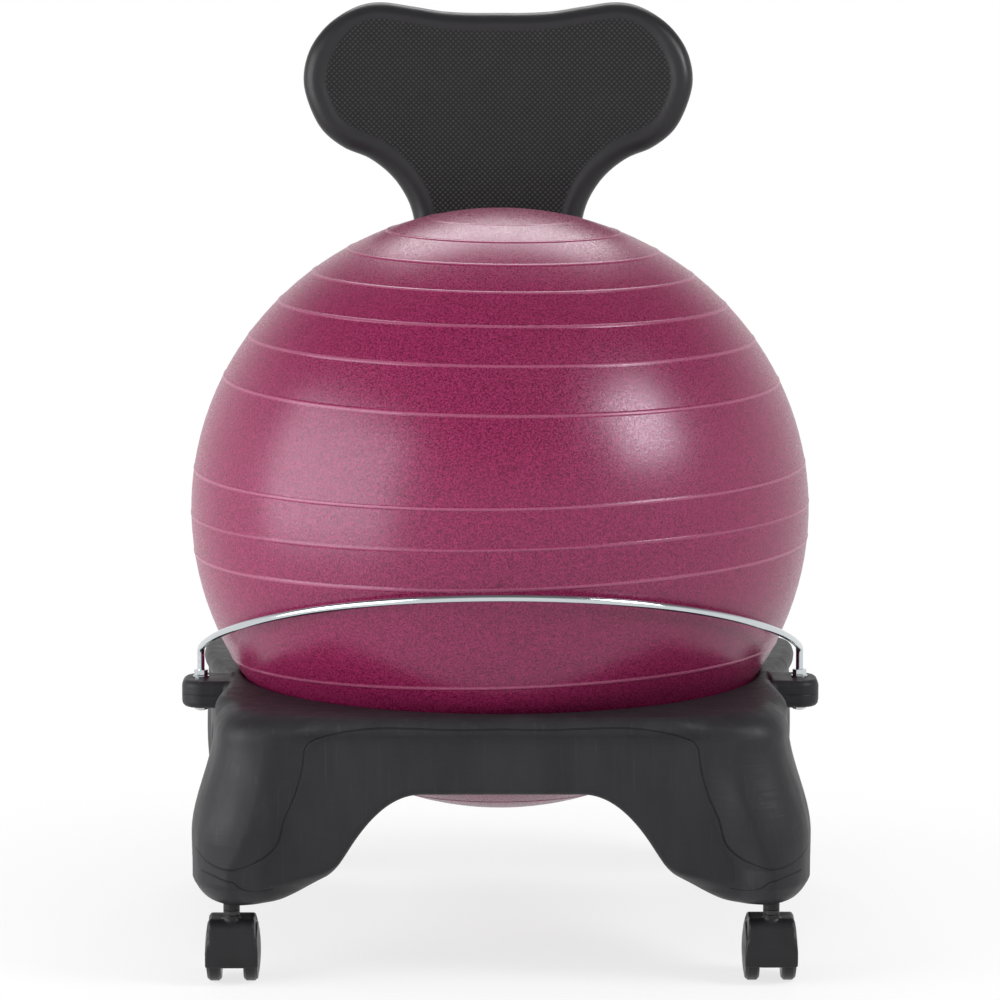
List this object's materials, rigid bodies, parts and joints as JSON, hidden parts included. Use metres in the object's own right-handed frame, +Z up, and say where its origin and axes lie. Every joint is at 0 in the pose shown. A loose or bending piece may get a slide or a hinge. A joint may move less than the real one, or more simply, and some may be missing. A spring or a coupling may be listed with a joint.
{
  "type": "balance ball chair",
  "caption": "Air-filled exercise ball held in a wheeled plastic seat base, with a bolted backrest panel and a chromed bar round the front of the ball.",
  "frame": {"origin": "on the floor, under the upright axis of the ball", "axes": "+Z up, the front of the chair faces -Y, +X on the right of someone who looks at its front"},
  "size_m": [0.532, 0.572, 0.7756],
  "materials": {
    "moulded_base": "satin charcoal, faintly brushed",
    "moulded_back": "satin black with a fine dotted grain",
    "ball_pvc": "pearly plum PVC",
    "chromed_steel": "polished chrome plate",
    "plated_steel": "zinc plate",
    "black_steel": "black oxide",
    "brass": "machined brass",
    "caster_plastic": "black nylon",
    "wheel_plastic": "smooth black nylon"
  },
  "bodies": {
    "seat_base": {"base_frame": "moulded_base", "backrest": "moulded_back", "backrest_bolts": "black_steel", "backrest_washers": "plated_steel", "backrest_inserts": "brass", "support_bar": "chromed_steel", "bar_flange_nuts": "chromed_steel", "bar_washers": "plated_steel", "bar_lock_nuts": "plated_steel", "caster_socket_fl": "caster_plastic", "caster_stem_fl": "black_steel", "grip_ring_fl": "plated_steel", "caster_socket_fr": "caster_plastic", "caster_stem_fr": "black_steel", "grip_ring_fr": "plated_steel", "caster_socket_rl": "caster_plastic", "caster_stem_rl": "black_steel", "grip_ring_rl": "plated_steel", "caster_socket_rr": "caster_plastic", "caster_stem_rr": "black_steel", "grip_ring_rr": "plated_steel"},
    "ball": {"ball_skin": "ball_pvc", "ball_plug": "ball_pvc"},
    "caster_fl": {"caster_hood_fl": "caster_plastic", "caster_axle_fl": "plated_steel"},
    "caster_fr": {"caster_hood_fr": "caster_plastic", "caster_axle_fr": "plated_steel"},
    "caster_rl": {"caster_hood_rl": "caster_plastic", "caster_axle_rl": "plated_steel", "brake_pin_rl": "plated_steel"},
    "brake_rl": {"brake_lever_rl": "caster_plastic"},
    "caster_rr": {"caster_hood_rr": "caster_plastic", "caster_axle_rr": "plated_steel", "brake_pin_rr": "plated_steel"},
    "brake_rr": {"brake_lever_rr": "caster_plastic"},
    "wheel_body_fl_left": {"wheel_fl_left": "wheel_plastic", "hub_cap_fl_left": "caster_plastic"},
    "wheel_body_fl_right": {"wheel_fl_right": "wheel_plastic", "hub_cap_fl_right": "caster_plastic"},
    "wheel_body_fr_left": {"wheel_fr_left": "wheel_plastic", "hub_cap_fr_left": "caster_plastic"},
    "wheel_body_fr_right": {"wheel_fr_right": "wheel_plastic", "hub_cap_fr_right": "caster_plastic"},
    "wheel_body_rl_left": {"wheel_rl_left": "wheel_plastic", "hub_cap_rl_left": "caster_plastic"},
    "wheel_body_rl_right": {"wheel_rl_right": "wheel_plastic", "hub_cap_rl_right": "caster_plastic"},
    "wheel_body_rr_left": {"wheel_rr_left": "wheel_plastic", "hub_cap_rr_left": "caster_plastic"},
    "wheel_body_rr_right": {"wheel_rr_right": "wheel_plastic", "hub_cap_rr_right": "caster_plastic"}
  },
  "joints": [
    {"name": "ball_lift", "type": "slide", "parent": "seat_base", "child": "ball", "axis": [0, 0, 1], "range_m": [0, 0.12]},
    {"name": "swivel_fl", "type": "hinge", "parent": "seat_base", "child": "caster_fl", "pos_m": [-0.218, -0.215, 0.04], "axis": [0, 0, 1], "continuous": true},
    {"name": "roll_fl_left", "type": "hinge", "parent": "caster_fl", "child": "wheel_body_fl_left", "pos_m": [-0.218, -0.197, 0.025], "axis": [1, 0, 0], "continuous": true},
    {"name": "roll_fl_right", "type": "hinge", "parent": "caster_fl", "child": "wheel_body_fl_right", "pos_m": [-0.218, -0.197, 0.025], "axis": [1, 0, 0], "continuous": true},
    {"name": "swivel_fr", "type": "hinge", "parent": "seat_base", "child": "caster_fr", "pos_m": [0.218, -0.215, 0.04], "axis": [0, 0, 1], "continuous": true},
    {"name": "roll_fr_left", "type": "hinge", "parent": "caster_fr", "child": "wheel_body_fr_left", "pos_m": [0.218, -0.197, 0.025], "axis": [1, 0, 0], "continuous": true},
    {"name": "roll_fr_right", "type": "hinge", "parent": "caster_fr", "child": "wheel_body_fr_right", "pos_m": [0.218, -0.197, 0.025], "axis": [1, 0, 0], "continuous": true},
    {"name": "swivel_rl", "type": "hinge", "parent": "seat_base", "child": "caster_rl", "pos_m": [-0.218, 0.215, 0.04], "axis": [0, 0, 1], "continuous": true},
    {"name": "roll_rl_left", "type": "hinge", "parent": "caster_rl", "child": "wheel_body_rl_left", "pos_m": [-0.218, 0.233, 0.025], "axis": [1, 0, 0], "continuous": true},
    {"name": "roll_rl_right", "type": "hinge", "parent": "caster_rl", "child": "wheel_body_rl_right", "pos_m": [-0.218, 0.233, 0.025], "axis": [1, 0, 0], "continuous": true},
    {"name": "brake_press_rl", "type": "hinge", "parent": "caster_rl", "child": "brake_rl", "pos_m": [-0.218, 0.247, 0.037], "axis": [1, 0, 0], "range_deg": [-11, 0]},
    {"name": "swivel_rr", "type": "hinge", "parent": "seat_base", "child": "caster_rr", "pos_m": [0.218, 0.215, 0.04], "axis": [0, 0, 1], "continuous": true},
    {"name": "roll_rr_left", "type": "hinge", "parent": "caster_rr", "child": "wheel_body_rr_left", "pos_m": [0.218, 0.233, 0.025], "axis": [1, 0, 0], "continuous": true},
    {"name": "roll_rr_right", "type": "hinge", "parent": "caster_rr", "child": "wheel_body_rr_right", "pos_m": [0.218, 0.233, 0.025], "axis": [1, 0, 0], "continuous": true},
    {"name": "brake_press_rr", "type": "hinge", "parent": "caster_rr", "child": "brake_rr", "pos_m": [0.218, 0.247, 0.037], "axis": [1, 0, 0], "range_deg": [-11, 0]}
  ]
}
